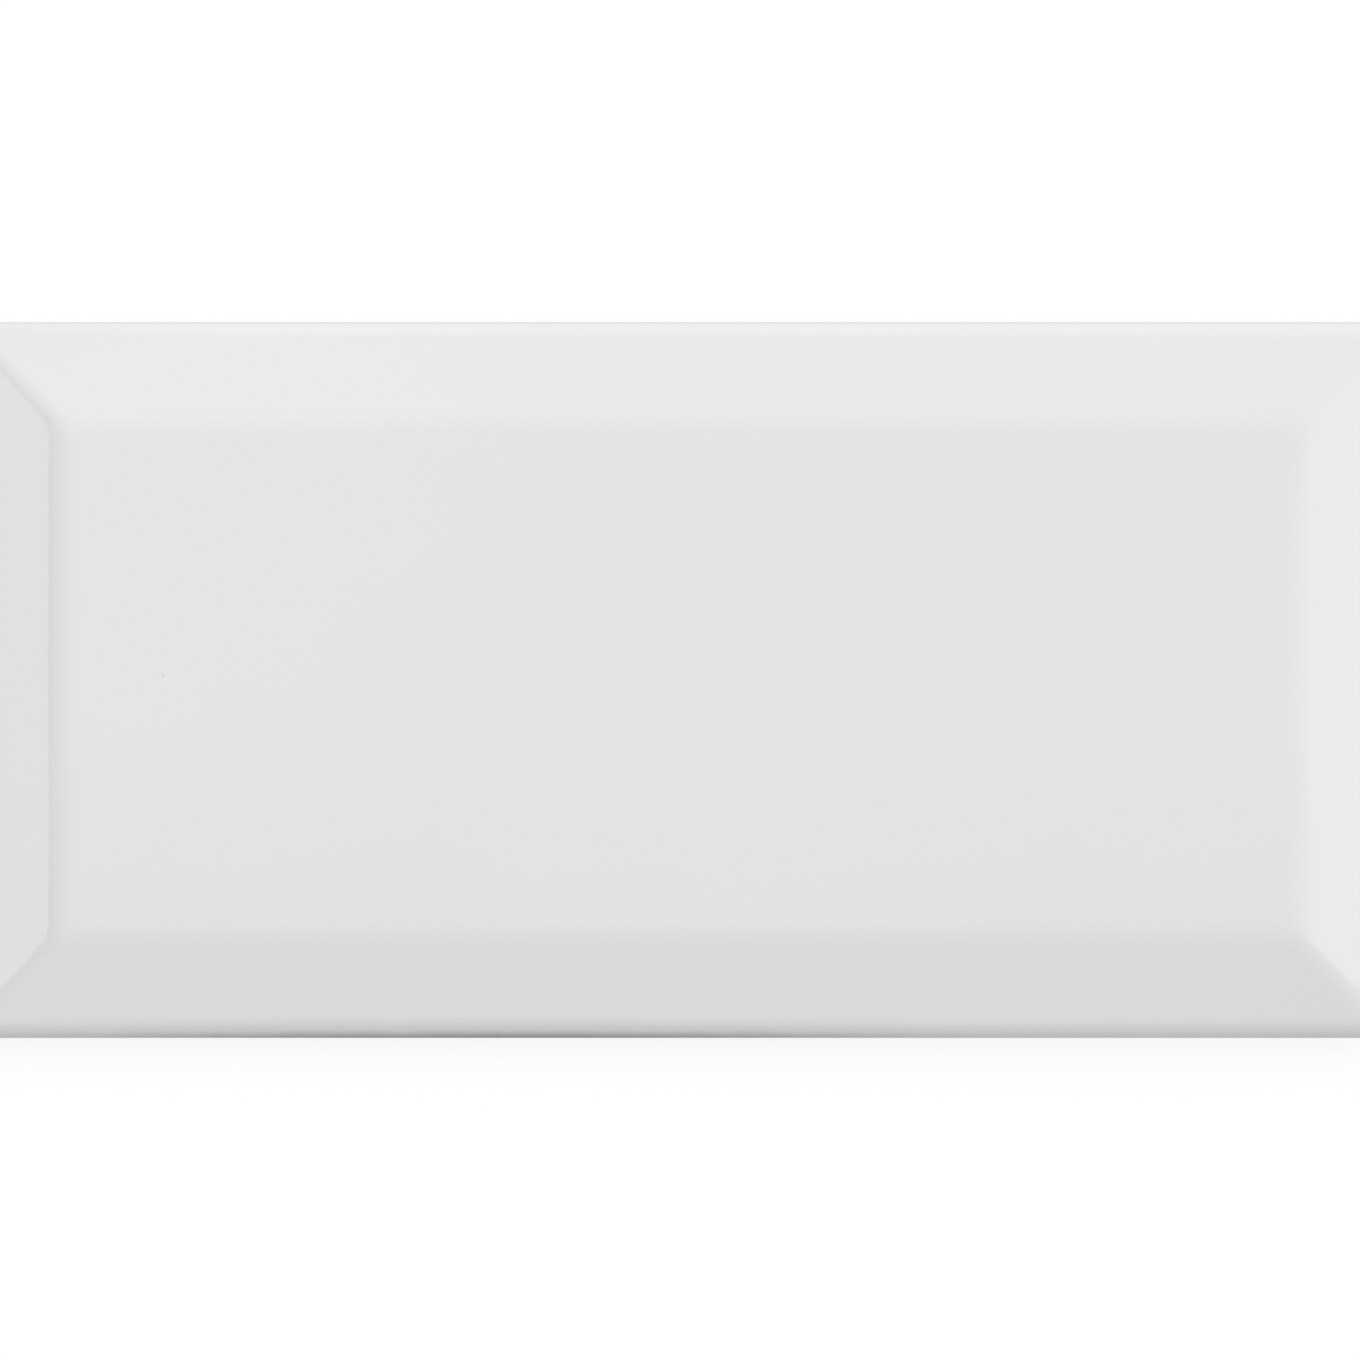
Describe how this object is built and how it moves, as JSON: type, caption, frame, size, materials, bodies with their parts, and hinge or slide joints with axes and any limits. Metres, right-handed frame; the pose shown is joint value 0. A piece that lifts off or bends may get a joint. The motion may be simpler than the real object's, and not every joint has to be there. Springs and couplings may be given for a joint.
{
  "type": "bevelled wall tile",
  "caption": "Rectangular glazed ceramic wall tile with a flat field, mitred bevelled sides, a soft rim and a keyed bare back, for facing walls and splashbacks in courses.",
  "frame": {"origin": "middle of the bedding plane, the plane that the ribs of the keyed back share", "axes": "+X along the tile's length, +Y up its face as it hangs lengthwise on a wall, +Z out of its glazed face"},
  "size_m": [0.15, 0.075, 0.008],
  "materials": {
    "glazed_body": "gloss white glaze over the face, rim and upper walls, bare off-white fired body on the lower walls and back"
  },
  "bodies": {
    "root": {"tile": "glazed_body"}
  },
  "joints": []
}
